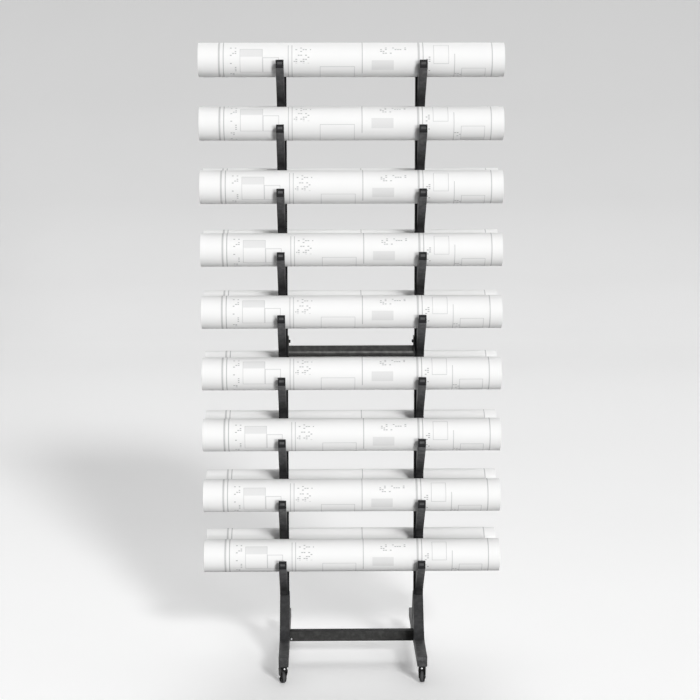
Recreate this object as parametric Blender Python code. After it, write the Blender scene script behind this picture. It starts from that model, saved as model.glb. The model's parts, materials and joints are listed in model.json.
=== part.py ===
"""Free-standing double-sided roll file rack on casters, in metres with +Z up.

The origin is on the floor under the middle of the rack. +X runs along the rolls and the front faces -Y.
Levels are counted from the top.
"""

import math

import bmesh
import bpy
from mathutils import Matrix, Vector

# Clearances
SEAT_GAP = 0.0003
WHEEL_SIDE_GAP = 0.0008
CROWN_CLEARANCE = 0.0025

# Facets
ROLL_SIDES = 24
WHEEL_SIDES = 20
PIN_SIDES = 12
FILLET_STEPS = 5

# Plan rolls: a wound sheet with an open middle
ROLL_LENGTH = 0.914
ROLL_DIAMETER = 0.1016
ROLL_WALL = 0.00875

# Levels and posts
LEVELS = 9
LEVEL_PITCH = 0.190
POST_SPACING = 0.426

# Cradle brackets: a column section with an arm to the front and one to the back
BRACKET_WIDTH = 0.0235
COLUMN_DEPTH = 0.050
COLUMN_SKIRT = 0.002
CRADLE_WALL = 0.0170
ARM_SLOPE = math.radians(38.4)
TIP_GAP = 0.0165
TIP_WALL = 0.0115
TIP_DROP = 0.001
TIP_ROUND = 0.002
LIP_ROUND = 0.004
HEEL_ROUND = 0.010
THROAT_ROUND = 0.025

# Upright flat bars on the inner side of the brackets
BAR_THICKNESS = 0.005
BAR_DEPTH = 0.040

# Feet, flush with the brackets on the outer side
FOOT_LENGTH = 0.550
FOOT_WIDTH = 0.030
FOOT_HEIGHT = 0.1553
TOE_HEIGHT = 0.0305
KNEE_REACH = 0.105
KNEE_HEIGHT = 0.037
SHOULDER_STEP = 0.0015
SHOULDER_ROUND = 0.001
KNEE_ROUND = 0.060
TOE_ROUND = 0.006
POCKET_DEPTH = 0.090

# Low crossbar: a rectangular tube between the feet
LOW_BAR_HEIGHT = 0.032
LOW_BAR_DEPTH = 0.030
LOW_BAR_WALL = 0.002
LOW_BAR_RISE = 0.003

# Mid crossbar: a folded rail with a rolled bead along its lower edge and a tab at each end
MID_BAR_LEVEL = 5
MID_BAR_DROP = 0.1115
MID_BAR_FACE = 0.0165
MID_BAR_BEAD = 0.0175
MID_BAR_BEAD_STEP = 0.0085
MID_BAR_BEAD_ROUND = 0.008
MID_BAR_DEPTH = 0.029
MID_BAR_WALL = 0.0025
TAB_THICKNESS = 0.003
TAB_BORDER = 0.0008
TAB_RISE = 0.0275

# Crossbar bolts
BOLT_DIAMETER = 0.006
BOLT_HEAD_DIAMETER = 0.0105
BOLT_HEAD_HEIGHT = 0.0045
BOLT_RISE = 0.0115

# Casters
WHEEL_DIAMETER = 0.040
WHEEL_WIDTH = 0.015
WHEEL_TREAD_ROUND = 0.003
WHEEL_RIM = 0.006
WHEEL_HUB_DIAMETER = 0.016
WHEEL_WEB = 0.008
TRAIL = 0.012
AXLE_DIAMETER = 0.006
AXLE_HEAD_DIAMETER = 0.009
AXLE_HEAD_HEIGHT = 0.0015
CHEEK_THICKNESS = 0.0022
CROWN_THICKNESS = 0.004
CROWN_DIAMETER = 0.022
CROWN_ROUND = 0.003
BOSS_DIAMETER = 0.016
KINGPIN_DIAMETER = 0.006
RIVET_DIAMETER = 0.010
RIVET_HEIGHT = 0.0015
COLLAR_DIAMETER = 0.012
COLLAR_HEIGHT = 0.010
STEM_DIAMETER = 0.008
STEM_DEPTH = 0.020
STEM_SETBACK = 0.018
CASTER_TURNS = {"front_left": 16.0, "front_right": -7.0, "back_left": 0.0, "back_right": 0.0}

# Heights, from the floor up
AXLE_HEIGHT = WHEEL_DIAMETER / 2
CROWN_UNDERSIDE = WHEEL_DIAMETER + CROWN_CLEARANCE
CROWN_TOP = CROWN_UNDERSIDE + CROWN_THICKNESS
FOOT_UNDERSIDE = CROWN_TOP + COLLAR_HEIGHT + 2 * SEAT_GAP
FOOT_TOP = FOOT_UNDERSIDE + FOOT_HEIGHT

# Cradle geometry about a roll's axis
CRADLE_RADIUS = ROLL_DIAMETER / 2 + SEAT_GAP
ROLL_AXIS_Y = COLUMN_DEPTH / 2 + CRADLE_RADIUS
LIP_OUTWARD = CRADLE_RADIUS + TIP_GAP
TIP_OUTWARD = LIP_OUTWARD + TIP_WALL
THROAT_TURN = math.pi / 2 - ARM_SLOPE
THROAT_TANGENT = THROAT_ROUND * math.tan(THROAT_TURN / 2)


def slope_depth(offset, outward):
    """Depth below the roll axis, some way outward, of the slope line that passes the axis at an offset."""
    return (offset - outward * math.sin(ARM_SLOPE)) / math.cos(ARM_SLOPE)


LIP_DEPTH = slope_depth(CRADLE_RADIUS, LIP_OUTWARD)
HEEL_DEPTH = slope_depth(CRADLE_RADIUS + CRADLE_WALL, TIP_OUTWARD)
THROAT_DEPTH = slope_depth(CRADLE_RADIUS + CRADLE_WALL, -CRADLE_RADIUS)
COLUMN_BELOW = THROAT_DEPTH + THROAT_TANGENT + COLUMN_SKIRT
COLUMN_ABOVE = LEVEL_PITCH - SEAT_GAP - COLUMN_BELOW
LOWEST_AXIS = FOOT_TOP + SEAT_GAP + COLUMN_BELOW

# Stations across the rack, on the +X side
BRACKET_X = POST_SPACING / 2
BRACKET_INNER_X = BRACKET_X - BRACKET_WIDTH / 2
BAR_OUTER_X = BRACKET_INNER_X - SEAT_GAP
BAR_INNER_X = BAR_OUTER_X - BAR_THICKNESS
FOOT_X = BRACKET_X + BRACKET_WIDTH / 2 - FOOT_WIDTH / 2
FOOT_INNER_X = FOOT_X - FOOT_WIDTH / 2
TAB_OUTER_X = BAR_INNER_X - SEAT_GAP
TAB_INNER_X = TAB_OUTER_X - TAB_THICKNESS
STEM_Y = FOOT_LENGTH / 2 - STEM_SETBACK
FORK_HALF_WIDTH = WHEEL_WIDTH / 2 + WHEEL_SIDE_GAP + CHEEK_THICKNESS

MERGE_DISTANCE = 0.000001
SHARP_ANGLE = math.radians(40)
SIDES = (("left", -1), ("right", 1))
FACES = (("front", -1), ("back", 1))

FINISHES = {
    "charcoal_coat": {"colour": (0.055, 0.055, 0.057), "roughness": 0.5, "metallic": 0.0},
    "rail_coat": {"colour": (0.050, 0.050, 0.047), "roughness": 0.55, "metallic": 0.0},
    "black_nylon": {"colour": (0.012, 0.012, 0.012), "roughness": 0.45, "metallic": 0.0},
    "black_tread": {"colour": (0.018, 0.018, 0.018), "roughness": 0.6, "metallic": 0.0},
    "zinc": {"colour": (0.62, 0.62, 0.63), "roughness": 0.35, "metallic": 1.0},
    "white_paper": {"colour": (0.86, 0.86, 0.86), "roughness": 0.8, "metallic": 0.0},
}


def level_axis(level):
    """Height of the roll axes at a level."""
    return LOWEST_AXIS + (LEVELS - level) * LEVEL_PITCH


def clear_scene():
    for thing in list(bpy.data.objects):
        bpy.data.objects.remove(thing, do_unlink=True)


def finish(name):
    """The Principled material of a named finish, made once."""
    if name in bpy.data.materials:
        return bpy.data.materials[name]
    look = FINISHES[name]
    material = bpy.data.materials.new(name)
    material.use_nodes = True
    shader = material.node_tree.nodes["Principled BSDF"]
    shader.inputs["Base Color"].default_value = (*look["colour"], 1.0)
    shader.inputs["Roughness"].default_value = look["roughness"]
    shader.inputs["Metallic"].default_value = look["metallic"]
    material.diffuse_color = (*look["colour"], 1.0)
    return material


def to_data(shape, name):
    """Turn a bmesh into mesh data, smooth on its round faces and sharp at its edges."""
    data = bpy.data.meshes.new(name)
    shape.to_mesh(data)
    shape.free()
    data.shade_smooth()
    data.set_sharp_from_angle(angle=SHARP_ANGLE)
    return data


def place(name, data, look, location=(0.0, 0.0, 0.0), turn=0.0, parent=None):
    """Add one named piece. Copies share their mesh data."""
    piece = bpy.data.objects.new(name, data)
    bpy.context.scene.collection.objects.link(piece)
    piece.location = location
    piece.rotation_euler.z = turn
    piece.parent = parent
    if not data.materials:
        data.materials.append(finish(look))
    return piece


def combined(body, tools, operation, name):
    """Join tools to a body, or cut them out of it, and return the finished mesh data."""
    blank = place("blank", to_data(body, name), "charcoal_coat")
    helpers = [place("tool", to_data(tool, "tool"), "charcoal_coat") for tool in tools]
    for helper in helpers:
        helper.hide_render = True
        helper.display_type = "WIRE"
        modifier = blank.modifiers.new("combine", "BOOLEAN")
        modifier.operation = operation
        modifier.solver = "EXACT"
        modifier.object = helper
    graph = bpy.context.evaluated_depsgraph_get()
    data = bpy.data.meshes.new_from_object(blank.evaluated_get(graph))
    data.materials.clear()
    data.set_sharp_from_angle(angle=SHARP_ANGLE)
    for helper in [blank, *helpers]:
        bpy.data.objects.remove(helper, do_unlink=True)
    return data


def rounded(corners):
    """Fillet each (y, z, radius) corner of a closed outline, or keep it where the radius is 0."""
    points = []
    for index, (y, z, radius) in enumerate(corners):
        corner = Vector((y, z))
        if radius == 0:
            points.append(corner)
            continue
        back = (Vector(corners[index - 1][:2]) - corner).normalized()
        ahead = (Vector(corners[(index + 1) % len(corners)][:2]) - corner).normalized()
        half = back.angle(ahead) / 2
        centre = corner + (back + ahead).normalized() * radius / math.sin(half)
        spoke = corner + back * radius / math.tan(half) - centre
        sweep = math.copysign(math.pi - 2 * half, -back.cross(ahead))
        for step in range(FILLET_STEPS + 1):
            points.append(centre + Matrix.Rotation(sweep * step / FILLET_STEPS, 2) @ spoke)
    return points


def extruded(outline, low_x, high_x):
    """A straight bar along X whose section is an outline of (y, z) points."""
    shape = bmesh.new()
    section = shape.faces.new([shape.verts.new((low_x, y, z)) for y, z in outline])
    grown = bmesh.ops.extrude_face_region(shape, geom=[section])
    far_end = [item for item in grown["geom"] if isinstance(item, bmesh.types.BMVert)]
    bmesh.ops.translate(shape, verts=far_end, vec=(high_x - low_x, 0, 0))
    bmesh.ops.recalc_face_normals(shape, faces=shape.faces)
    return shape


def block(low, high):
    """A rectangular block between two corners."""
    shape = bmesh.new()
    size = Vector(high) - Vector(low)
    middle = (Vector(high) + Vector(low)) / 2
    bmesh.ops.create_cube(shape, size=1, matrix=Matrix.Translation(middle) @ Matrix.Diagonal(size.to_4d()))
    return shape


def turned(profile, sides, closed=False):
    """Spin (along, radius) points about X. A closed profile makes a ring, an open one ends on the axis."""
    shape = bmesh.new()
    rim = [shape.verts.new((along, radius, 0)) for along, radius in profile]
    pairs = list(zip(rim, rim[1:]))
    if closed:
        pairs.append((rim[-1], rim[0]))
    edges = [shape.edges.new(pair) for pair in pairs]
    bmesh.ops.spin(
        shape,
        geom=rim + edges,
        cent=(0, 0, 0),
        axis=(1, 0, 0),
        angle=2 * math.pi,
        steps=sides,
        use_merge=True,
    )
    bmesh.ops.remove_doubles(shape, verts=shape.verts, dist=MERGE_DISTANCE)
    bmesh.ops.recalc_face_normals(shape, faces=shape.faces)
    return shape


def stood_up(shape):
    """Turn a shape made along X so that it stands along +Z."""
    shape.transform(Matrix.Rotation(-math.pi / 2, 4, "Y"))
    return shape


def drill(diameter, low, high):
    """A round cutter along X, clear of the pin of that diameter."""
    radius = diameter / 2 + SEAT_GAP
    return turned([(low, 0), (low, radius), (high, radius), (high, 0)], PIN_SIDES)


def moved(shape, offset):
    shape.transform(Matrix.Translation(offset))
    return shape


def build_rolls():
    """The plan rolls, one in front and one behind at each level."""
    half = ROLL_LENGTH / 2
    outer = ROLL_DIAMETER / 2
    inner = outer - ROLL_WALL
    ring = [(-half, inner), (-half, outer), (half, outer), (half, inner)]
    data = to_data(turned(ring, ROLL_SIDES, closed=True), "plan_roll")
    for level in range(1, LEVELS + 1):
        for face, sign in FACES:
            place(f"{face}_roll_{level}", data, "white_paper", (0, sign * ROLL_AXIS_Y, level_axis(level)))


def front_arm():
    """Outline corners of the front arm, from the column's top down to its foot, about the roll axis height.

    The cradle follows the roll round from the column, then runs straight up the slope to the lip at the tip.
    """
    step = 2 * math.pi / ROLL_SIDES
    run_out = math.pi / 2 + ARM_SLOPE
    cradle = [k * step for k in range(ROLL_SIDES) if k * step < run_out] + [run_out]
    corners = [(-COLUMN_DEPTH / 2, COLUMN_ABOVE, 0)]
    for angle in cradle:
        y = CRADLE_RADIUS * math.cos(angle) - ROLL_AXIS_Y
        corners.append((y, -CRADLE_RADIUS * math.sin(angle), 0))
    lip = -ROLL_AXIS_Y - LIP_OUTWARD
    tip = -ROLL_AXIS_Y - TIP_OUTWARD
    corners += [
        (lip, -LIP_DEPTH, LIP_ROUND),
        (lip, -TIP_DROP, TIP_ROUND),
        (tip, -TIP_DROP, TIP_ROUND),
        (tip, -HEEL_DEPTH, HEEL_ROUND),
        (-COLUMN_DEPTH / 2, -THROAT_DEPTH, THROAT_ROUND),
        (-COLUMN_DEPTH / 2, -COLUMN_BELOW, 0),
    ]
    return corners


def build_brackets():
    """Stacked castings, each with its front and back arm in one piece."""
    front = front_arm()
    back = [(-y, z, radius) for y, z, radius in reversed(front)]
    data = to_data(extruded(rounded(front + back), -BRACKET_WIDTH / 2, BRACKET_WIDTH / 2), "bracket")
    for level in range(1, LEVELS + 1):
        for side, sign in SIDES:
            place(f"{side}_bracket_{level}", data, "charcoal_coat", (sign * BRACKET_X, 0, level_axis(level)))


def bolt_height():
    return level_axis(MID_BAR_LEVEL) - MID_BAR_DROP + BOLT_RISE


def build_upright_bars():
    """Flat bars that run from the foot's pocket to the top bracket, tapped for the crossbar bolts."""
    half = BAR_THICKNESS / 2
    bottom = FOOT_TOP - POCKET_DEPTH + SEAT_GAP
    top = level_axis(1) + COLUMN_ABOVE
    body = block((-half, -BAR_DEPTH / 2, bottom), (half, BAR_DEPTH / 2, top))
    hole = moved(drill(BOLT_DIAMETER, -BAR_THICKNESS, BAR_THICKNESS), (0, 0, bolt_height()))
    data = combined(body, [hole], "DIFFERENCE", "upright_bar")
    for side, sign in SIDES:
        place(f"{side}_upright_bar", data, "charcoal_coat", (sign * (BAR_INNER_X + half), 0, 0))


def build_feet():
    """Flared feet with a pocket for the flat bar in the inner face and a bore under each toe."""
    shoulder = COLUMN_DEPTH / 2 + SHOULDER_STEP
    toe = FOOT_LENGTH / 2
    front = [
        (-shoulder, FOOT_TOP, SHOULDER_ROUND),
        (-KNEE_REACH, FOOT_UNDERSIDE + KNEE_HEIGHT, KNEE_ROUND),
        (-toe, FOOT_UNDERSIDE + TOE_HEIGHT, TOE_ROUND),
        (-toe, FOOT_UNDERSIDE, 0),
    ]
    back = [(-y, z, radius) for y, z, radius in reversed(front)]
    body = extruded(rounded(front + back), -FOOT_WIDTH / 2, FOOT_WIDTH / 2)
    pocket_y = BAR_DEPTH / 2 + SEAT_GAP
    pocket = block(
        (-FOOT_WIDTH, -pocket_y, FOOT_TOP - POCKET_DEPTH),
        (BAR_OUTER_X + SEAT_GAP - FOOT_X, pocket_y, FOOT_TOP + POCKET_DEPTH),
    )
    bore = (FOOT_UNDERSIDE - STEM_DEPTH, FOOT_UNDERSIDE + STEM_DEPTH + SEAT_GAP)
    bores = [moved(stood_up(drill(STEM_DIAMETER, *bore)), (0, sign * STEM_Y, 0)) for _, sign in FACES]
    data = combined(body, [pocket, *bores], "DIFFERENCE", "foot")
    for side, sign in SIDES:
        turn = 0 if sign > 0 else math.pi
        place(f"{side}_foot", data, "charcoal_coat", (sign * FOOT_X, 0, 0), turn)


def build_low_crossbar():
    """Rectangular tube between the feet."""
    half = FOOT_INNER_X - SEAT_GAP
    low = FOOT_UNDERSIDE + LOW_BAR_RISE
    corner = Vector((half, LOW_BAR_DEPTH / 2, low + LOW_BAR_HEIGHT))
    wall = Vector((-LOW_BAR_WALL, LOW_BAR_WALL, LOW_BAR_WALL))
    body = block((-half, -LOW_BAR_DEPTH / 2, low), corner)
    hollow = block(Vector((-half, -LOW_BAR_DEPTH / 2, low)) + wall, corner - wall)
    place("low_crossbar", combined(body, [hollow], "DIFFERENCE", "low_crossbar"), "rail_coat")


def build_mid_crossbar():
    """Folded rail, open at the back, with a tab at each end that bolts to the upright bars."""
    face = -MID_BAR_DEPTH / 2
    brow = face - MID_BAR_BEAD_STEP
    back = MID_BAR_DEPTH / 2
    top = level_axis(MID_BAR_LEVEL) - MID_BAR_DROP
    fold = top - MID_BAR_FACE
    bottom = fold - MID_BAR_BEAD
    outside = [
        (face, top, 0),
        (face, fold, 0),
        (brow, fold, MID_BAR_BEAD_ROUND),
        (brow, bottom, MID_BAR_BEAD_ROUND),
        (back, bottom, 0),
    ]
    bead_hollow = MID_BAR_BEAD_ROUND - MID_BAR_WALL
    inside = [
        (back, bottom + MID_BAR_WALL, 0),
        (brow + MID_BAR_WALL, bottom + MID_BAR_WALL, bead_hollow),
        (brow + MID_BAR_WALL, fold - MID_BAR_WALL, bead_hollow),
        (face + MID_BAR_WALL, fold - MID_BAR_WALL, 0),
        (face + MID_BAR_WALL, top, 0),
    ]
    rail_end = (TAB_INNER_X + TAB_OUTER_X) / 2
    rail = extruded(rounded(outside + inside), -rail_end, rail_end)
    tabs = [
        block((min(x), brow - TAB_BORDER, bottom - TAB_BORDER), (max(x), back + TAB_BORDER, top + TAB_RISE))
        for x in ((-TAB_OUTER_X, -TAB_INNER_X), (TAB_INNER_X, TAB_OUTER_X))
    ]
    reach = TAB_OUTER_X + SEAT_GAP
    holes = moved(drill(BOLT_DIAMETER, -reach, reach), (0, 0, bolt_height()))
    joined = combined(rail, tabs, "UNION", "mid_crossbar")
    shape = bmesh.new()
    shape.from_mesh(joined)
    place("mid_crossbar", combined(shape, [holes], "DIFFERENCE", "mid_crossbar"), "rail_coat")


def build_crossbar_bolts():
    """Bolts through the tabs into the tapped upright bars."""
    seat = -SEAT_GAP - TAB_THICKNESS - SEAT_GAP
    head = seat - BOLT_HEAD_HEIGHT
    end = BAR_THICKNESS - SEAT_GAP
    shank = BOLT_DIAMETER / 2
    crown = BOLT_HEAD_DIAMETER / 2
    profile = [
        (head, 0),
        (head, shank),
        (seat - SEAT_GAP, crown),
        (seat, crown),
        (seat, shank),
        (end, shank),
        (end, 0),
    ]
    data = to_data(turned(profile, PIN_SIDES), "crossbar_bolt")
    for side, sign in SIDES:
        turn = 0 if sign > 0 else math.pi
        place(f"{side}_crossbar_bolt", data, "black_nylon", (sign * BAR_INNER_X, 0, bolt_height()), turn)


def stem_data():
    """Kingpin, collar and stem in one turned piece, riveted over under the fork's crown."""
    rivet_top = CROWN_UNDERSIDE - SEAT_GAP
    collar_low = CROWN_TOP + SEAT_GAP
    profile = [
        (rivet_top - RIVET_HEIGHT, 0),
        (rivet_top - RIVET_HEIGHT, RIVET_DIAMETER / 2),
        (rivet_top, RIVET_DIAMETER / 2),
        (rivet_top, KINGPIN_DIAMETER / 2),
        (collar_low, KINGPIN_DIAMETER / 2),
        (collar_low, COLLAR_DIAMETER / 2),
        (collar_low + COLLAR_HEIGHT, COLLAR_DIAMETER / 2),
        (collar_low + COLLAR_HEIGHT, STEM_DIAMETER / 2),
        (FOOT_UNDERSIDE + STEM_DEPTH, STEM_DIAMETER / 2),
        (FOOT_UNDERSIDE + STEM_DEPTH, 0),
    ]
    return to_data(stood_up(turned(profile, PIN_SIDES)), "caster_stem")


def fork_data():
    """Crown and two cheeks. The stem's axis is at y = 0 and the wheel trails towards +Y."""
    crown = CROWN_DIAMETER / 2
    boss = BOSS_DIAMETER / 2
    corners = [
        (-crown, CROWN_TOP, CROWN_ROUND),
        (-crown, CROWN_UNDERSIDE, 0),
        (TRAIL - boss, AXLE_HEIGHT, 0),
        (TRAIL - boss, AXLE_HEIGHT - boss, boss / 2),
        (TRAIL + boss, AXLE_HEIGHT - boss, boss / 2),
        (TRAIL + boss, AXLE_HEIGHT, 0),
        (TRAIL + crown, CROWN_TOP, CROWN_ROUND),
    ]
    body = extruded(rounded(corners), -FORK_HALF_WIDTH, FORK_HALF_WIDTH)
    slot_x = WHEEL_WIDTH / 2 + WHEEL_SIDE_GAP
    slot_y = TRAIL + WHEEL_DIAMETER
    slot = block((-slot_x, -slot_y, -AXLE_HEIGHT), (slot_x, slot_y, CROWN_UNDERSIDE))
    pin_hole = stood_up(drill(KINGPIN_DIAMETER, AXLE_HEIGHT, FOOT_UNDERSIDE))
    axle_hole = moved(drill(AXLE_DIAMETER, -WHEEL_DIAMETER, WHEEL_DIAMETER), (0, TRAIL, AXLE_HEIGHT))
    return combined(body, [slot, pin_hole, axle_hole], "DIFFERENCE", "caster_fork")


def axle_data():
    """Axle pin with a head outside each cheek."""
    seat = FORK_HALF_WIDTH + SEAT_GAP
    end = seat + AXLE_HEAD_HEIGHT
    pin = AXLE_DIAMETER / 2
    head = AXLE_HEAD_DIAMETER / 2
    half = [(seat, pin), (seat, head), (end, head), (end, 0)]
    return to_data(turned([(-x, r) for x, r in reversed(half)] + half, PIN_SIDES), "caster_axle")


def wheel_data():
    """Moulded wheel with a recessed web on both sides and a rounded tread."""
    side = WHEEL_WIDTH / 2
    web = WHEEL_WEB / 2
    bore = AXLE_DIAMETER / 2 + SEAT_GAP
    hub = WHEEL_HUB_DIAMETER / 2
    tread = WHEEL_DIAMETER / 2
    rim = tread - WHEEL_RIM
    half = [
        (side, bore),
        (side, hub),
        (web, hub),
        (web, rim),
        (side, rim),
        (side, tread - WHEEL_TREAD_ROUND),
        (side - WHEEL_TREAD_ROUND, tread),
    ]
    ring = half + [(-x, r) for x, r in reversed(half)]
    return to_data(turned(ring, WHEEL_SIDES, closed=True), "caster_wheel")


def build_casters():
    """Four swivel casters. Each turns about an empty that stands on its stem's axis."""
    stem, fork, axle, wheel = stem_data(), fork_data(), axle_data(), wheel_data()
    for face, face_sign in FACES:
        for side, side_sign in SIDES:
            corner = f"{face}_{side}"
            swivel = bpy.data.objects.new(f"{corner}_swivel", None)
            bpy.context.scene.collection.objects.link(swivel)
            swivel.location = (side_sign * FOOT_X, face_sign * STEM_Y, 0)
            inward = 0 if face_sign < 0 else math.pi
            swivel.rotation_euler.z = inward + math.radians(CASTER_TURNS[corner])
            place(f"{corner}_caster_stem", stem, "zinc", (side_sign * FOOT_X, face_sign * STEM_Y, 0))
            place(f"{corner}_caster_fork", fork, "black_nylon", parent=swivel)
            hub = (0, TRAIL, AXLE_HEIGHT)
            place(f"{corner}_caster_axle", axle, "zinc", hub, parent=swivel)
            place(f"{corner}_caster_wheel", wheel, "black_tread", hub, parent=swivel)


def main():
    clear_scene()
    build_feet()
    build_low_crossbar()
    build_upright_bars()
    build_brackets()
    build_mid_crossbar()
    build_crossbar_bolts()
    build_casters()
    build_rolls()


main()
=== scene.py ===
import json
import math
import random

import bmesh
import bpy
from mathutils import Matrix, Vector, noise


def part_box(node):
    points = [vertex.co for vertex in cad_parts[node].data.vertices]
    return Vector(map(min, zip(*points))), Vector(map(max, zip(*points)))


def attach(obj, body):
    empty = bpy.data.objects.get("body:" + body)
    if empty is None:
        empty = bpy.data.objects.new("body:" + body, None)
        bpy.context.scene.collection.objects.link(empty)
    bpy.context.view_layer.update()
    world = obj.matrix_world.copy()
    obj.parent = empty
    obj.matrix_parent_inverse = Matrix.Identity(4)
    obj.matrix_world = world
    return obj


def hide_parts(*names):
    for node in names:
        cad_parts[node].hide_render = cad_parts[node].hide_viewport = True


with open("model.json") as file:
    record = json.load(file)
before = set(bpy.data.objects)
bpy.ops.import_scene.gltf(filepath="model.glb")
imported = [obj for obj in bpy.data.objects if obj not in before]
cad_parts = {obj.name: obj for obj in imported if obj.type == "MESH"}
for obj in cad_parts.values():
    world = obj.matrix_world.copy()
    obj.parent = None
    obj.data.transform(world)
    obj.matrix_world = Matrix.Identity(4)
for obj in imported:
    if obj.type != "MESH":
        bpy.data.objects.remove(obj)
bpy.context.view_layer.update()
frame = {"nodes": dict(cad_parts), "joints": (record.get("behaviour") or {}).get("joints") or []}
joints = {joint["name"]: joint for joint in frame["joints"]}
levels = range(1, 1 + sum(node.startswith("front_roll_") for node in frame["nodes"]))
sides = {"left": -1, "right": 1}
faces = {"front": -1, "back": 1}


# Shader maths: a wire is an output socket that can be added, scaled and compared
class Wire:
    def __init__(self, finish, socket):
        self.finish = finish
        self.socket = socket

    def maths(self, operation, first, second=0.0):
        return self.finish.node("ShaderNodeMath", {"operation": operation}, {0: first, 1: second})

    def __add__(self, other):
        return self.maths("ADD", self, other)

    def __sub__(self, other):
        return self.maths("SUBTRACT", self, other)

    def __rsub__(self, other):
        return self.maths("SUBTRACT", other, self)

    def __mul__(self, other):
        return self.maths("MULTIPLY", self, other)

    def __mod__(self, other):
        return self.maths("FLOORED_MODULO", self, other)

    def __rmod__(self, other):
        return self.maths("FLOORED_MODULO", other, self)

    def __gt__(self, other):
        return self.maths("GREATER_THAN", self, other)

    def __lt__(self, other):
        return self.maths("LESS_THAN", self, other)

    def __abs__(self):
        return self.maths("ABSOLUTE", self)

    def over(self, other):  # the larger of the two
        return self.maths("MAXIMUM", self, other)

    __radd__ = __add__
    __rmul__ = __mul__


# A finish is the node tree of a material, or of the world, and the shader in it
class Finish:
    def __init__(self, owner, shader="Principled BSDF"):
        owner.use_nodes = True
        self.owner = owner
        self.tree = owner.node_tree
        self.shader = self.tree.nodes[shader]

    # Any node: its type, its settings and what goes into its sockets
    def node(self, kind, settings=None, sockets=None, out=0):
        made = self.tree.nodes.new(kind)
        for name, value in (settings or {}).items():
            if name == "stops":
                self.setStops(made.color_ramp.elements, value)
            else:
                setattr(made, name, value)
        for name, value in (sockets or {}).items():
            self.plug(made.inputs[name], value)
        return Wire(self, made.outputs[out])

    def setStops(self, elements, stops):
        while len(elements) < len(stops):
            elements.new(1.0)
        for element, (place, colour) in zip(elements, stops):
            element.position = place
            element.color = (*colour, 1.0)

    def plug(self, socket, value):
        if isinstance(value, Wire):
            self.tree.links.new(value.socket, socket)
        elif socket.type == "RGBA":
            socket.default_value = (*value, 1.0)
        else:
            socket.default_value = value

    def feed(self, **values):  # into the shader's own sockets
        for name, value in values.items():
            self.plug(self.shader.inputs[name.replace("_", " ")], value)
        return self.owner

    def place(self):
        return self.node("ShaderNodeTexCoord", out="Object")

    def grain(self, place, scale, detail=3.0, roughness=0.5):
        sockets = {"Vector": place, "Scale": scale, "Detail": detail, "Roughness": roughness}
        return self.node("ShaderNodeTexNoise", None, sockets, "Fac")

    def blend(self, amount, low, high, kind="MIX"):
        settings = {"data_type": "RGBA", "blend_type": kind}
        return self.node("ShaderNodeMix", settings, {0: amount, 6: low, 7: high}, 2)

    def span(self, value, low, high, start=0.0, end=1.0):
        sockets = {0: value, 1: low, 2: high, 3: start, 4: end}
        return self.node("ShaderNodeMapRange", {"clamp": True}, sockets)

    def split(self, vector):
        whole = self.node("ShaderNodeSeparateXYZ", None, {0: vector})
        return [Wire(self, socket) for socket in whole.socket.node.outputs]

    def bump(self, height, strength, distance):
        sockets = {"Height": height, "Strength": strength, "Distance": distance}
        return self.node("ShaderNodeBump", None, sockets, "Normal")

    def seen(self):  # 1 for a ray that shows this finish, 0 for one that carries its light elsewhere
        camera = self.node("ShaderNodeLightPath", out="Is Camera Ray")
        rays = camera.socket.node.outputs
        return camera.over(Wire(self, rays["Is Glossy Ray"])).over(Wire(self, rays["Is Transmission Ray"]))


def newFinish(name):
    return Finish(bpy.data.materials.new(name))


def shade(colour, amount):
    return tuple(min(1.0, amount * channel) for channel in colour)


# Grains are (scale, detail, roughness) and bumps (strength, distance); most of a grain lies in this span
grainSpan = (0.3, 0.7)
coatWork = {"cloud": (9.0, 4.0), "cloudTones": (0.97, 1.03), "peel": (1100.0, 2.0), "peelShare": 0.7,
            "fleck": (420.0, 2.0, 0.7), "fleckSpan": (0.62, 0.72), "fleckInk": 0.08, "fleckTone": 2.0,
            "wear": (60.0, 5.0, 0.65), "wearSpan": (0.42, 0.66), "wearTone": 3.0, "wearGloss": 0.15,
            "glossSpan": (0.25, 0.75), "glossSpread": 0.07, "bump": (0.22, 0.0004)}


# Powder coat: fine orange peel, cloudy gloss and edges rubbed a little lighter. Painted light and shade
# (from, to, start, end) scales the coat's tone by the distance in front of or behind the rack's middle
def powderCoat(name, colour, gloss=0.5, rub=0.35, paintedLightAndShade=None, shine=0.12):
    work = coatWork
    finish = newFinish(name)
    place = finish.place()
    cloud = finish.grain(place, *work["cloud"])
    peel = finish.grain(place, *work["peel"])
    fleck = finish.grain(place, *work["fleck"])
    dark, light = (shade(colour, tone) for tone in work["cloudTones"])
    coat = finish.blend(finish.span(cloud, *grainSpan), dark, light)
    flecks = finish.span(fleck, *work["fleckSpan"]) * work["fleckInk"]
    coat = finish.blend(flecks, coat, shade(colour, work["fleckTone"]))
    edge = finish.node("ShaderNodeAttribute", {"attribute_name": "edge"}, None, "Fac")
    worn = edge * finish.span(finish.grain(place, *work["wear"]), *work["wearSpan"]) * rub
    coat = finish.blend(worn, coat, shade(colour, work["wearTone"]))
    if paintedLightAndShade:
        depth = abs(finish.split(place)[1])
        coat = finish.blend(1.0, coat, finish.span(depth, *paintedLightAndShade), "MULTIPLY")
    spread = work["glossSpread"]
    rough = finish.span(cloud, *work["glossSpan"], gloss - spread, gloss + spread) - worn * work["wearGloss"]
    bump = finish.bump(peel * work["peelShare"] + fleck * (1 - work["peelShare"]), *work["bump"])
    return finish.feed(Base_Color=coat, Roughness=rough, Normal=bump, Specular_IOR_Level=shine)


zincWork = {"spangle": (260.0, 3.0), "dull": (0.58, 0.58, 0.60), "bright": (0.76, 0.76, 0.77),
            "haze": (900.0, 2.0), "rough": (0.24, 0.42), "bump": (0.08, 0.0003)}


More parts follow.
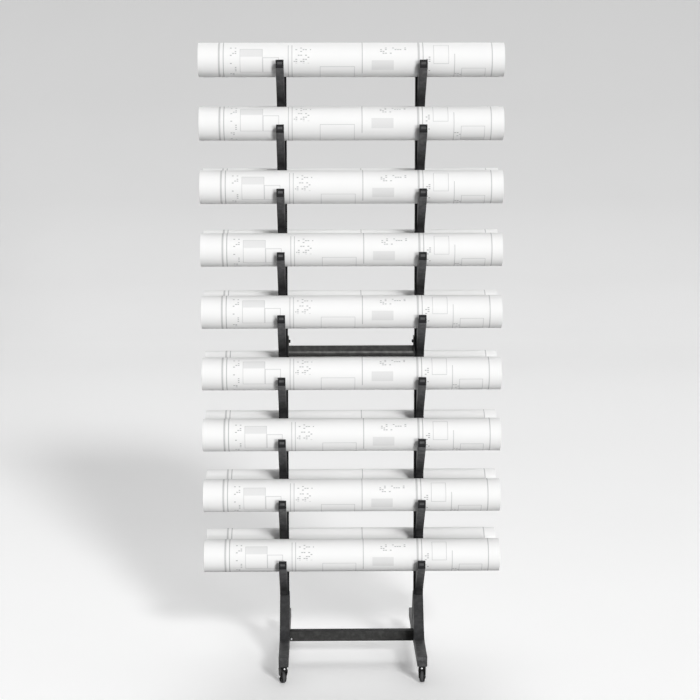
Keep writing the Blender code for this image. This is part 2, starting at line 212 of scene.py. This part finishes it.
def zincPlate():
    work = zincWork
    finish = newFinish("zincPlate")
    place = finish.place()
    spangle = finish.grain(place, *work["spangle"])
    colour = finish.blend(finish.span(spangle, *grainSpan), work["dull"], work["bright"])
    rough = finish.span(finish.grain(place, *work["haze"]), *grainSpan, *work["rough"])
    bump = finish.bump(spangle, *work["bump"])
    return finish.feed(Base_Color=colour, Roughness=rough, Metallic=1.0, Normal=bump)


mouldWork = {"cloud": (45.0, 4.0), "cloudTones": (0.85, 1.2), "pebble": (1500.0, 2.0, 0.6), "pebbleBump": 0.3,
             "dust": (160.0, 5.0, 0.7), "dustSpan": (0.55, 0.75), "dustInk": 0.25, "dustTone": 2.4,
             "dustGloss": 0.3, "glossSpread": (-0.06, 0.08), "shine": 0.15}


# Moulded nylon and tyre compound
def moulding(name, colour, gloss, pebbleHeight):
    work = mouldWork
    finish = newFinish(name)
    place = finish.place()
    cloud = finish.span(finish.grain(place, *work["cloud"]), *grainSpan)
    pebble = finish.grain(place, *work["pebble"])
    dust = finish.span(finish.grain(place, *work["dust"]), *work["dustSpan"]) * work["dustInk"]
    dark, light = (shade(colour, tone) for tone in work["cloudTones"])
    base = finish.blend(dust, finish.blend(cloud, dark, light), shade(colour, work["dustTone"]))
    low, high = (gloss + spread for spread in work["glossSpread"])
    rough = finish.span(cloud, 0.0, 1.0, low, high) + dust * work["dustGloss"]
    bump = finish.bump(pebble, work["pebbleBump"], pebbleHeight)
    return finish.feed(Base_Color=base, Roughness=rough, Normal=bump, Specular_IOR_Level=work["shine"])


# Plan print, in metres on the sheet: u runs along the roll from its middle, v round it from the free edge
planPrint = {
    "paper": (0.87, 0.87, 0.866),
    "paperTone": 0.985,
    "cloud": (5.0, 3.0),
    "fibre": (700.0, 3.0, 0.6),
    "rough": (0.72, 0.84),
    "bump": (0.12, 0.0003),
    "ink": (0.16, 0.16, 0.17),
    "inkSpan": (0.3, 0.6, 0.8, 1.0),  # thinner where the fibres stand up
    "soft": 0.0005,
    # bands round the roll: place, width, strength, from, to
    "bands": ((-0.392, 0.0056, 0.46, 0.0, 0.34), (-0.379, 0.0026, 0.62, 0.0, 0.34),
              (-0.186, 0.0022, 0.50, 0.12, 0.34), (-0.175, 0.0022, 0.50, 0.12, 0.34),
              (0.034, 0.0026, 0.52, 0.0, 0.21), (0.202, 0.0066, 0.42, 0.0, 0.34),
              (0.215, 0.0024, 0.62, 0.0, 0.34), (0.309, 0.0022, 0.46, 0.15, 0.34),
              (0.421, 0.0030, 0.50, 0.0, 0.34)),
    # room outlines and pale tints: left, right, from, to
    "rooms": ((-0.330, -0.262, 0.135, 0.205), (-0.262, -0.214, 0.160, 0.205), (-0.092, 0.012, 0.185, 0.250),
              (0.246, 0.292, 0.120, 0.178), (0.330, 0.402, 0.190, 0.246)),
    "roomLine": 0.0015,
    "roomInk": 0.44,
    "tints": ((-0.330, -0.262, 0.135, 0.158), (0.062, 0.128, 0.168, 0.196), (0.330, 0.402, 0.226, 0.246)),
    "tintInk": 0.19,
    # fields of small marks
    "marks": ((-0.360, -0.340, 0.130, 0.240), (-0.170, -0.118, 0.130, 0.176), (0.080, 0.170, 0.128, 0.150),
              (0.224, 0.238, 0.150, 0.236), (0.300, 0.330, 0.200, 0.224)),
    "markPitch": (0.0072, 0.0056),
    "markSize": (0.0056, 0.0022),
    "markShare": 0.72,  # left out
    "markInk": 0.78,
}


def paperFinish():
    look = planPrint
    finish = newFinish("planPaper")
    sheet = finish.node("ShaderNodeUVMap", {"uv_map": "sheet"})
    u, v, _ = finish.split(sheet)
    place = finish.place()

    def band(value, low, high):
        soft = look["soft"]
        rise = finish.span(value, low - soft, low + soft)
        return rise * finish.span(value, high - soft, high + soft, 1.0, 0.0)

    def block(left, right, low, high):
        return band(u, left, right) * band(v, low, high)

    def dashes(value, pitch, size):
        return band(value % pitch, pitch / 2 - size / 2, pitch / 2 + size / 2)

    layers = []
    for centre, width, strength, low, high in look["bands"]:
        layers.append(block(centre - width / 2, centre + width / 2, low, high) * strength)
    line = look["roomLine"]
    for left, right, low, high in look["rooms"]:
        outline = block(left, right, low, high) - block(left + line, right - line, low + line, high - line)
        layers.append(outline * look["roomInk"])
    for field in look["tints"]:
        layers.append(block(*field) * look["tintInk"])
    (pitchU, pitchV), (sizeU, sizeV) = look["markPitch"], look["markSize"]
    dash = dashes(u, pitchU, sizeU) * dashes(v, pitchV, sizeV)
    cell = finish.node("ShaderNodeCombineXYZ", None, {0: u - u % pitchU, 1: v - v % pitchV})
    chosen = finish.node("ShaderNodeTexWhiteNoise", None, {"Vector": cell}, "Value") > look["markShare"]
    for field in look["marks"]:
        layers.append(block(*field) * dash * chosen * look["markInk"])
    ink = layers[0]
    for layer in layers[1:]:
        ink = ink.over(layer)

    fibre = finish.grain(place, *look["fibre"])
    cloud = finish.span(finish.grain(place, *look["cloud"]), *grainSpan)
    paper = finish.blend(cloud, shade(look["paper"], look["paperTone"]), look["paper"])
    colour = finish.blend(ink * finish.span(fibre, *look["inkSpan"]), paper, look["ink"])
    rough = finish.span(fibre, *grainSpan, *look["rough"])
    return finish.feed(Base_Color=colour, Roughness=rough, Normal=finish.bump(fibre, *look["bump"]))


coats = {
    # painted shade on the bracket columns under the rolls and painted light towards the arms and tips;
    # painted shade on the feet towards the toes
    "bracket": powderCoat("bracketCoat", (0.040, 0.040, 0.041), 0.48, paintedLightAndShade=(0.026, 0.140, 0.40, 2.15)),
    "foot": powderCoat("footCoat", (0.033, 0.033, 0.034), 0.50, paintedLightAndShade=(0.150, 0.240, 0.88, 0.70)),
    "bar": powderCoat("barCoat", (0.005, 0.005, 0.006), 0.55),
    "rail": powderCoat("railCoat", (0.031, 0.031, 0.030), 0.52),
    # painted shade: a darker coat on the low crossbar's top faces
    "railTopPaintedShade": powderCoat("railTopPaintedShade", (0.012, 0.012, 0.012), 0.60, shine=0.03),
    # painted highlight: a lighter coat on the mid crossbar's rolled bead
    "bead": powderCoat("railBeadPaintedHighlight", (0.110, 0.110, 0.107), 0.42),
    # painted light: a lighter coat on the feet's end faces
    "toe": powderCoat("toeEndPaintedLight", (0.044, 0.044, 0.045), 0.55, 0.6),
    "pad": moulding("padRubber", (0.010, 0.010, 0.011), 0.58, 0.0004),
    "inlay": powderCoat("padInlay", (0.060, 0.060, 0.061), 0.50),
    "nylon": moulding("blackNylon", (0.004, 0.004, 0.004), 0.42, 0.0003),
    "tread": moulding("greyTread", (0.060, 0.060, 0.062), 0.62, 0.0005),
    "screw": powderCoat("blackScrew", (0.012, 0.012, 0.013), 0.40, 0.5),
    "zinc": zincPlate(),
    "paper": paperFinish(),
}
print("finishes made:", len(coats))


# Shapes: merge distance in metres, then angles in degrees
meshWork = {"merge": 0.000002, "flat": 0.4, "bevelFrom": 35.0, "smoothTo": 40.0}


def benchCopy(node):
    shape = bmesh.new()
    shape.from_mesh(frame["nodes"][node].data)
    flat = math.radians(meshWork["flat"])
    bmesh.ops.remove_doubles(shape, verts=shape.verts, dist=meshWork["merge"])
    bmesh.ops.dissolve_limit(shape, angle_limit=flat, verts=shape.verts, edges=shape.edges)
    bmesh.ops.recalc_face_normals(shape, faces=shape.faces)
    return shape


def softEdges(shape, width, segments=3):
    worn = shape.verts.layers.float.new("edge")
    least = math.radians(meshWork["bevelFrom"])
    sharp = [edge for edge in shape.edges if len(edge.link_faces) == 2 and edge.calc_face_angle(0.0) > least]
    made = bmesh.ops.bevel(shape, geom=sharp, offset=width, offset_type="OFFSET", segments=segments,
                           profile=0.5, affect="EDGES", clamp_overlap=True, material=-1)
    for vert in made["verts"]:
        vert[worn] = 1.0
    return shape


def inset(shape, face, thickness, depth=0.0):
    bmesh.ops.inset_region(shape, faces=[face], thickness=thickness, depth=depth, use_even_offset=True)


def addPiece(name, shape, coat, body, slot, *nodes, inlay=None, weighted=True):
    data = bpy.data.meshes.new(name)
    shape.to_mesh(data)
    shape.free()
    data.shade_smooth()
    data.set_sharp_from_angle(angle=math.radians(meshWork["smoothTo"]))
    data.materials.append(coats[coat])
    if inlay:
        data.materials.append(coats[inlay])
    piece = bpy.data.objects.new(name, data)
    bpy.context.scene.collection.objects.link(piece)
    if weighted:
        even = piece.modifiers.new("evenFaces", "WEIGHTED_NORMAL")
        even.keep_sharp = True
    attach(piece, body)
    if nodes:
        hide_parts(*nodes)


def aimed(origin, turnedFrom, direction):  # a place at the origin, turned to the direction
    turn = Vector(turnedFrom).rotation_difference(Vector(direction))
    return Matrix.Translation(origin) @ turn.to_matrix().to_4x4()


# Spin (along, radius) points about an axis: a closed profile makes a ring, an open one ends on the axis
def turnedShape(profile, origin, axis, closed=False, steps=40):
    shape = bmesh.new()
    rim = [shape.verts.new((along, radius, 0)) for along, radius in profile]
    pairs = list(zip(rim, rim[1:])) + ([(rim[-1], rim[0])] if closed else [])
    edges = [shape.edges.new(pair) for pair in pairs]
    bmesh.ops.spin(shape, geom=rim + edges, cent=(0, 0, 0), axis=(1, 0, 0), angle=2 * math.pi, steps=steps,
                   use_merge=True)
    bmesh.ops.remove_doubles(shape, verts=shape.verts, dist=meshWork["merge"])
    bmesh.ops.recalc_face_normals(shape, faces=shape.faces)
    shape.transform(aimed(origin, (1, 0, 0), axis))
    return shape


def mirrored(half):  # a profile that is the same on both sides of its middle
    return [(-along, radius) for along, radius in reversed(half)] + half


def joined(shapes):
    whole = bmesh.new()
    for shape in shapes:
        data = bpy.data.meshes.new("loose")
        shape.to_mesh(data)
        shape.free()
        whole.from_mesh(data)
        bpy.data.meshes.remove(data)
    return whole


# Brackets: each casting is parted behind its two tips, where the pads fit, and has a shallow pocket outside
bracketWork = {"edge": 0.0014, "padDepth": 0.0026, "seam": 0.0005, "padEdge": 0.0008, "rim": 0.0040,
               "inlayDepth": 0.0006, "pocketEnd": 0.034, "pocketFoot": 0.012, "pocketRim": 0.0042,
               "pocketDepth": 0.0018, "pocketDraft": 0.6, "facing": 0.99}


def parted(shape, y, outward, keepOutside):
    geom = shape.verts[:] + shape.edges[:] + shape.faces[:]
    cut = bmesh.ops.bisect_plane(shape, geom=geom, plane_co=(0, y, 0), plane_no=(0, outward, 0),
                                 clear_outer=not keepOutside, clear_inner=keepOutside)
    loop = [item for item in cut["geom_cut"] if isinstance(item, bmesh.types.BMEdge)]
    bmesh.ops.edgeloop_fill(shape, edges=loop)
    bmesh.ops.recalc_face_normals(shape, faces=shape.faces)
    return shape


def largestFace(shape, direction):  # of those that look that way
    found = [face for face in shape.faces if face.normal.dot(direction) > bracketWork["facing"]]
    return max(found, key=lambda face: face.calc_area())


def tipPad(side, level, face, seat):
    work = bracketWork
    sign = faces[face]
    pad = parted(benchCopy(f"{side}_bracket_{level}"), seat + sign * work["seam"], sign, True)
    softEdges(pad, work["padEdge"], 2)
    front = largestFace(pad, Vector((0, sign, 0)))
    inset(pad, front, work["rim"])
    inset(pad, front, work["inlayDepth"], -work["inlayDepth"])
    front.material_index = 1
    name = f"{side}TipPad{level}{face.capitalize()}"
    addPiece(name, pad, "pad", "frame", "bracket_coat", inlay="inlay")


# The pocket stops short of the tips and of the column's foot
def sidePocket(casting, outward, low, high):
    work = bracketWork
    end = (high.y - low.y) / 2 - work["pocketEnd"]
    foot = low.z + work["pocketFoot"]
    cuts = (((0, -end, 0), (0, 1, 0)), ((0, end, 0), (0, 1, 0)), ((0, 0, foot), (0, 0, 1)))
    for point, normal in cuts:
        web = largestFace(casting, outward)
        geom = [web, *web.edges, *web.verts]
        bmesh.ops.bisect_plane(casting, geom=geom, plane_co=point, plane_no=normal)
    web = largestFace(casting, outward)
    inset(casting, web, work["pocketRim"])
    inset(casting, web, work["pocketDepth"] * work["pocketDraft"], -work["pocketDepth"])


def castBracket(side, level):
    work = bracketWork
    node = f"{side}_bracket_{level}"
    low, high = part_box(node)
    casting = benchCopy(node)
    for face, sign in faces.items():
        tip = low.y if sign < 0 else high.y
        seat = tip - sign * work["padDepth"]
        parted(casting, seat, sign, False)
        tipPad(side, level, face, seat)
    softEdges(casting, work["edge"])
    sidePocket(casting, Vector((sides[side], 0, 0)), low, high)
    addPiece(f"{side}Bracket{level}", casting, "bracket", "frame", "bracket_coat", node)


for side in sides:
    for level in levels:
        castBracket(side, level)
print("brackets cast:", len(sides) * len(levels))


# Flat bars, feet and crossbars: plain parts with eased edges, some with a second coat on picked faces
facePick = {"toe": 0.004, "top": 0.6, "bead": 0.0175, "beadStep": 0.0085, "reach": 0.0005, "upward": 0.2}


def onToe(face, place, low, high):  # the ends of a foot, coated lighter as painted light
    return abs(place.y) > high.y - facePick["toe"]


# the low crossbar's upward faces, coated darker as painted shade
def onTop(face, place, low, high):
    return face.normal.z > facePick["top"]


def onBead(face, place, low, high):  # painted highlight where the rolled bead turns up to the front
    under = place.z < low.z + facePick["bead"] + facePick["reach"]
    ahead = place.y < low.y + facePick["beadStep"] + facePick["reach"]
    return under and ahead and face.normal.z > facePick["upward"]


# Each part: name, coat, slot, edge width, edge segments, second coat and its test
easedParts = {
    "left_upright_bar": ("leftUprightBar", "bar", "bar_coat", 0.0005, 2, None, None),
    "right_upright_bar": ("rightUprightBar", "bar", "bar_coat", 0.0005, 2, None, None),
    "left_foot": ("leftFoot", "foot", "foot_coat", 0.0022, 3, "toe", onToe),
    "right_foot": ("rightFoot", "foot", "foot_coat", 0.0022, 3, "toe", onToe),
    "low_crossbar": ("lowCrossbar", "rail", "rail_coat", 0.0009, 3, "railTopPaintedShade", onTop),
    "mid_crossbar": ("midCrossbar", "rail", "rail_coat", 0.0005, 2, "bead", onBead),
}


def easedPart(node):
    name, coat, slot, width, segments, second, picks = easedParts[node]
    shape = softEdges(benchCopy(node), width, segments)
    for face in shape.faces:
        if picks and picks(face, face.calc_center_median(), *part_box(node)):
            face.material_index = 1
    addPiece(name, shape, coat, "frame", slot, node, inlay=second)


for node in easedParts:
    easedPart(node)
print("bars, feet and crossbars eased:", len(easedParts))


# Screws: button heads with a hex socket
screwWork = {"head": 0.0046, "skirt": 0.0006, "rise": 0.0026, "domeSteps": 5, "socket": 0.0024, "mouth": 1.3,
             "lip": 0.12, "taper": 0.00005, "socketDepth": 0.0016, "sides": 24, "barPlaces": (-0.030, 0.024),
             "boltScale": 1.12, "boltSkirt": 0.0017, "boltShank": 0.003, "railScale": 0.72,
             "railInset": 0.0046, "railRise": 0.0076}


def buttonScrew(seat, direction, scale=1.0, skirt=screwWork["skirt"]):
    work = screwWork
    shape = bmesh.new()
    bmesh.ops.create_cone(shape, cap_ends=True, segments=work["sides"], radius1=work["head"],
                          radius2=work["head"], depth=skirt, matrix=Matrix.Translation((0, 0, skirt / 2)))
    bmesh.ops.recalc_face_normals(shape, faces=shape.faces)
    top = max(shape.faces, key=lambda face: face.calc_center_median().z)
    flat = work["head"] - work["socket"] * work["mouth"]
    for step in range(work["domeSteps"]):
        low, high = (math.pi / 2 * (step + k) / work["domeSteps"] for k in (0, 1))
        rise = work["rise"] * (math.sin(high) - math.sin(low))
        inset(shape, top, flat * (math.cos(low) - math.cos(high)), rise)
    inset(shape, top, work["socket"] * work["lip"])
    for vert in top.verts:  # draw the round mouth out to a hexagon
        corner = math.atan2(vert.co.y, vert.co.x) % (math.pi / 3) - math.pi / 6
        vert.co.xy *= work["socket"] / math.cos(corner) / vert.co.xy.length
    inset(shape, top, work["taper"], -work["socketDepth"])
    shape.transform(aimed(seat, (0, 0, 1), direction) @ Matrix.Scale(scale, 4))
    return shape


def axisHeight(level):
    low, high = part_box(f"front_roll_{level}")
    return (low.z + high.z) / 2


def barScrews(side, sign):
    low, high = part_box(f"{side}_upright_bar")
    inner = low.x if sign > 0 else high.x
    places = [axisHeight(level) + rise for level in levels for rise in screwWork["barPlaces"]]
    heads = [buttonScrew((inner, 0, place), (-sign, 0, 0)) for place in places]
    addPiece(f"{side}BarScrews", joined(heads), "screw", "frame", "black_screw")


# The bolt through the mid crossbar's tab: a larger head on a plain shank
def crossbarBolt(side, sign):
    work = screwWork
    node = f"{side}_crossbar_bolt"
    low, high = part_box(node)
    tip, end = (low.x, high.x) if sign > 0 else (high.x, low.x)
    rise = work["boltScale"] * (work["boltSkirt"] + work["rise"])
    seat = Vector((tip + sign * rise, 0, (low.z + high.z) / 2))
    head = buttonScrew(seat, (-sign, 0, 0), work["boltScale"], work["boltSkirt"])
    length, shank = abs(end - seat.x), work["boltShank"]
    pin = turnedShape([(0, 0), (0, shank), (length, shank), (length, 0)], seat, (sign, 0, 0))
    addPiece(f"{side}CrossbarBolt", joined([head, pin]), "screw", "frame", "black_screw", node)


# Zinc screws that fix the low crossbar's ends: the left one from the front, the right one from the back
def railScrews():
    work = screwWork
    low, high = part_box("low_crossbar")
    height = low.z + work["railRise"]
    front = buttonScrew((low.x + work["railInset"], low.y, height), (0, -1, 0), work["railScale"])
    back = buttonScrew((high.x - work["railInset"], high.y, height), (0, 1, 0), work["railScale"])
    addPiece("lowCrossbarScrews", joined([front, back]), "zinc", "frame", "zinc")


for side, sign in sides.items():
    barScrews(side, sign)
    crossbarBolt(side, sign)
railScrews()
print("screws and bolts set")


# Casters: nylon fork and hood, grey tyre on a black centre, zinc stem, axle and front button
casterWork = {
    "forkEdge": 0.0006,
    "hoodGap": 0.0001,
    "wheelSteps": 64,
    "buttonRise": 0.0028,
    # rings are (along the axis, radius), from the crown's top, the wheel's middle or the stem's foot
    "hood": [(0, 0.0066), (0, 0.0106), (0.0052, 0.0106), (0.0070, 0.0099), (0.0081, 0.0084),
             (0.0084, 0.0066)],
    "button": [(-0.0010, 0), (-0.0010, 0.0026), (0.0005, 0.0026), (0.0009, 0.0020), (0.0012, 0.0010),
               (0.0013, 0)],
    "tyre": [(0.0043, 0.0166), (0.0043, 0.0190), (0.0038, 0.0196), (0.0028, 0.0199), (0.0014, 0.0200)],
    "centre": [(0.0072, 0.0034), (0.0075, 0.0040), (0.0075, 0.0072), (0.0068, 0.0080), (0.0042, 0.0084),
               (0.0040, 0.0130), (0.0066, 0.0140), (0.0075, 0.0150), (0.0075, 0.0174), (0.0066, 0.0186),
               (0.0045, 0.0189), (0.0045, 0.0165)],
    "axle": [(0.0108, 0.0030), (0.0108, 0.0045), (0.0114, 0.0044), (0.0119, 0.0034), (0.0122, 0.0018),
             (0.0123, 0)],
    "stem": [(0, 0), (0, 0.0038), (0.0008, 0.0050), (0.0015, 0.0050), (0.0015, 0.0030), (0.0061, 0.0030),
             (0.0061, 0.0055), (0.0066, 0.0060), (0.0156, 0.0060), (0.0161, 0.0055), (0.0161, 0.0040),
             (0.0354, 0.0040), (0.0364, 0.0030), (0.0364, 0)],
}


def buildCaster(face, side):
    work = casterWork
    corner = f"{face}_{side}"
    name = f"{face}{side.capitalize()}"
    body, roller = f"{corner}_caster", f"{corner}_caster_roller"
    pivot = Vector(joints[f"{corner}_swivel"]["pos_m"])
    spin = joints[f"{corner}_wheel_spin"]
    wheel, across = Vector(spin["pos_m"]), Vector(spin["axis"])
    ahead = Vector((pivot.x - wheel.x, pivot.y - wheel.y, 0)).normalized()
    up = Vector((0, 0, 1))

    fork = softEdges(benchCopy(f"{corner}_caster_fork"), work["forkEdge"], 2)
    addPiece(f"{name}Fork", fork, "nylon", body, "black_nylon", f"{corner}_caster_fork")
    crown = Vector((pivot.x, pivot.y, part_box(f"{corner}_caster_fork")[1].z + work["hoodGap"]))
    addPiece(f"{name}Hood", turnedShape(work["hood"], crown, up, True), "nylon", body, "black_nylon")
    front = crown + ahead * max(radius for _, radius in work["hood"]) + up * work["buttonRise"]
    addPiece(f"{name}Button", turnedShape(work["button"], front, ahead), "zinc", body, "zinc")
    axle = turnedShape(mirrored(work["axle"]), wheel, across)
    addPiece(f"{name}Axle", axle, "zinc", body, "zinc", f"{corner}_caster_axle")

    tyre = turnedShape(mirrored(work["tyre"]), wheel, across, True, work["wheelSteps"])
    addPiece(f"{name}Tyre", tyre, "tread", roller, "black_tread", f"{corner}_caster_wheel")
    centre = turnedShape(mirrored(work["centre"]), wheel, across, True, work["wheelSteps"])
    addPiece(f"{name}WheelCentre", centre, "nylon", roller, "black_nylon")

    stem = f"{corner}_caster_stem"
    foot = Vector((pivot.x, pivot.y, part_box(stem)[0].z))
    addPiece(f"{name}Stem", turnedShape(work["stem"], foot, up), "zinc", "frame", "zinc", stem)


for face in faces:
    for side in sides:
        buildCaster(face, side)
print("casters built:", len(faces) * len(sides))


# Plan rolls: a wound sheet with its free edge laid against the post, looser towards the middle
planRoll = {"turns": 9, "steps": 48, "lengths": 6, "sheet": 0.0004, "ease": 0.0001, "curl": 1.25,
            "freeEdge": 214.0, "sway": 14.0, "slip": 0.003, "wave": 0.0016, "waves": 7.0, "seedStep": 3.7,
            "endStep": 2.0, "seeds": {"front": 0, "back": 20}}


def woundSheet(face, level):
    work = planRoll
    seed = level + work["seeds"][face]
    dice = random.Random(seed)
    node = f"{face}_roll_{level}"
    low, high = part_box(node)
    middle = (low + high) / 2
    half = (high.x - low.x) / 2
    spokes = [(vert.co - middle).yz.length for vert in frame["nodes"][node].data.vertices]
    outer = max(spokes) - work["ease"]
    wall = outer - min(spokes) - work["sheet"]
    start = math.radians(work["freeEdge"] + dice.uniform(-work["sway"], work["sway"]))
    slip = dice.uniform(-work["slip"], work["slip"])
    sheetLength = 2 * math.pi * work["turns"] * (outer - wall / 2)
    shape = bmesh.new()
    rows = work["turns"] * work["steps"]
    bmesh.ops.create_grid(shape, x_segments=work["lengths"], y_segments=rows, size=0.5)  # one unit each way
    uv = shape.loops.layers.uv.new("sheet")
    for patch in shape.faces:
        for loop in patch.loops:
            flat = loop.vert.co
            loop[uv].uv = (flat.x * 2 * half + slip, (flat.y + 0.5) * sheetLength)
    for vert in shape.verts:
        run = vert.co.y + 0.5
        angle = start - run * work["turns"] * 2 * math.pi
        radius = outer - wall * run ** work["curl"]
        end = math.copysign(work["endStep"], vert.co.x)
        drift = noise.noise((run * work["waves"], seed * work["seedStep"], end))
        reach = half - work["wave"] * (0.5 + 0.5 * drift)
        spoke = Vector((0, faces[face] * math.cos(angle), math.sin(angle)))
        vert.co = middle + Vector((vert.co.x * 2 * reach, 0, 0)) + radius * spoke
    shape.normal_update()
    shape.faces.ensure_lookup_table()
    first = shape.faces[0]
    if first.normal.dot(first.calc_center_median() - middle) < 0:
        bmesh.ops.reverse_faces(shape, faces=shape.faces)
    bmesh.ops.solidify(shape, geom=shape.faces, thickness=work["sheet"])
    name, body = f"{face}PlanRoll{level}", f"level_{level}_{face}"
    addPiece(name, shape, "paper", body, "white_paper", node, weighted=False)


for level in levels:
    for face in faces:
        woundSheet(face, level)
print("plan rolls wound:", len(faces) * len(levels))


# Stage: floor and backdrop in one sweep
stageWork = {"near": -14.0, "turn": 6.5, "radius": 3.5, "steps": 24, "top": 3.6, "half": 60.0}
sweepWork = {
    # seen by the camera, by metres back from the rack plus the climb times the height: tone and own glow,
    # graded as painted light, brightest around the rack and darker up the backdrop
    "tones": ((-14.0, 0.90, 0.06), (-1.5, 0.93, 0.13), (-0.5, 0.95, 0.175), (0.7, 0.95, 0.15),
              (1.9, 0.94, 0.12), (3.7, 0.93, 0.11), (6.6, 0.93, 0.145), (8.9, 0.815, 0.0), (10.8, 0.665, 0.0),
              (12.9, 0.588, 0.0), (14.8, 0.558, 0.0), (20.0, 0.545, 0.0)),
    "climb": 2.0,
    "mottle": (2.0, 3.0),
    "mottleTones": (0.99, 1.0),
    "rough": 0.9,
    "shine": 0.1,
    "bounce": 0.30,  # tone of the light that it throws on the rack
}


def sweepFinish():
    work = sweepWork
    finish = newFinish("paleSweep")
    place = finish.place()
    _, depth, height = finish.split(place)
    first, last = work["tones"][0][0], work["tones"][-1][0]
    run = finish.span(depth + height * work["climb"], first, last)

    def along(column):
        stops = [((stop[0] - first) / (last - first), (stop[column],) * 3) for stop in work["tones"]]
        return finish.node("ShaderNodeValToRGB", {"stops": stops}, {0: run})

    mottle = finish.span(finish.grain(place, *work["mottle"]), *grainSpan, *work["mottleTones"])
    tone = finish.blend(1.0, along(1), mottle, "MULTIPLY")
    material = finish.feed(Base_Color=tone, Roughness=work["rough"], Specular_IOR_Level=work["shine"],
                           Emission_Color=along(2), Emission_Strength=1.0)
    bounce = finish.node("ShaderNodeBsdfDiffuse", None, {"Color": (work["bounce"],) * 3})
    bright = Wire(finish, finish.shader.outputs[0])
    whole = finish.node("ShaderNodeMixShader", None, {0: finish.seen(), 1: bounce, 2: bright})
    finish.plug(finish.tree.nodes["Material Output"].inputs["Surface"], whole)
    return material


def buildStage():
    work = stageWork
    shape = bmesh.new()
    side = -work["half"]
    edge = [shape.verts.new((side, work["near"], 0)), shape.verts.new((side, work["turn"], 0))]
    shape.edges.new(edge)
    bmesh.ops.spin(shape, geom=[edge[1]], cent=(0, work["turn"], work["radius"]), axis=(1, 0, 0),
                   angle=math.pi / 2, steps=work["steps"])
    last = max(shape.verts, key=lambda vert: vert.co.y + vert.co.z)
    top = shape.verts.new((side, last.co.y, work["top"]))
    shape.edges.new((last, top))
    grown = bmesh.ops.extrude_edge_only(shape, edges=shape.edges[:])
    far = [item for item in grown["geom"] if isinstance(item, bmesh.types.BMVert)]
    bmesh.ops.translate(shape, verts=far, vec=(2 * work["half"], 0, 0))
    bmesh.ops.recalc_face_normals(shape, faces=shape.faces)
    data = bpy.data.meshes.new("paleSweep")
    shape.to_mesh(data)
    shape.free()
    data.shade_smooth()
    data.materials.append(sweepFinish())
    sweep = bpy.data.objects.new("paleSweep", data)
    bpy.context.scene.collection.objects.link(sweep)


# Lamps: turn round the rack from the front, height and angle in degrees
lampReach = 6.0
lampWork = {
    "key": {"turn": 18.5, "height": 27.0, "strength": 1.53, "angle": 9.0},
    "low": {"turn": 22.0, "height": 6.0, "strength": 1.53, "angle": 12.0},
    "top": {"turn": 180.0, "height": 66.0, "strength": 0.45, "angle": 50.0},
    "back": {"turn": 176.0, "height": 36.0, "strength": 1.00, "angle": 36.0},
}


def addLamp(name):
    work = lampWork[name]
    lamp = bpy.data.lights.new(name, "SUN")
    lamp.energy = work["strength"]
    lamp.angle = math.radians(work["angle"])
    holder = bpy.data.objects.new(name, lamp)
    bpy.context.scene.collection.objects.link(holder)
    turn, rise = math.radians(work["turn"]), math.radians(work["height"])
    source = Vector((math.sin(turn) * math.cos(rise), -math.cos(turn) * math.cos(rise), math.sin(rise)))
    holder.rotation_mode = "QUATERNION"
    holder.rotation_quaternion = source.to_track_quat("Z", "Y")
    holder.location = lampReach * source


worldWork = {"light": 0.20, "seen": 0.85}


# The world lights the rack softly, and shows as a pale backdrop past the sweep's ends
def buildWorld():
    finish = Finish(bpy.data.worlds.new("studio"), "Background")
    strength = finish.span(finish.seen(), 0.0, 1.0, worldWork["light"], worldWork["seen"])
    bpy.context.scene.world = finish.feed(Color=(1.0, 1.0, 1.0), Strength=strength)


# Camera: metres, degrees, and the lens in millimetres
cameraWork = {"x": -0.0928, "y": -5.6926, "belowTopAxis": 0.101, "pitch": 7.868, "yaw": 0.907, "roll": 0.065,
              "lens": 95.35, "sensor": 36.0, "farthest": 100.0}


def addCamera():
    work = cameraWork
    data = bpy.data.cameras.new("photoCamera")
    data.lens = work["lens"]
    data.sensor_width = work["sensor"]
    data.clip_end = work["farthest"]
    camera = bpy.data.objects.new("photoCamera", data)
    bpy.context.scene.collection.objects.link(camera)
    camera.location = (work["x"], work["y"], axisHeight(1) - work["belowTopAxis"])
    turns = (90.0 - work["pitch"], work["roll"], -work["yaw"])
    camera.rotation_euler = [math.radians(turn) for turn in turns]
    bpy.context.scene.camera = camera


buildStage()
for lampName in lampWork:
    addLamp(lampName)
addCamera()
buildWorld()
bpy.context.scene.view_settings.view_transform = "Standard"
print("stage, lamps and camera set")
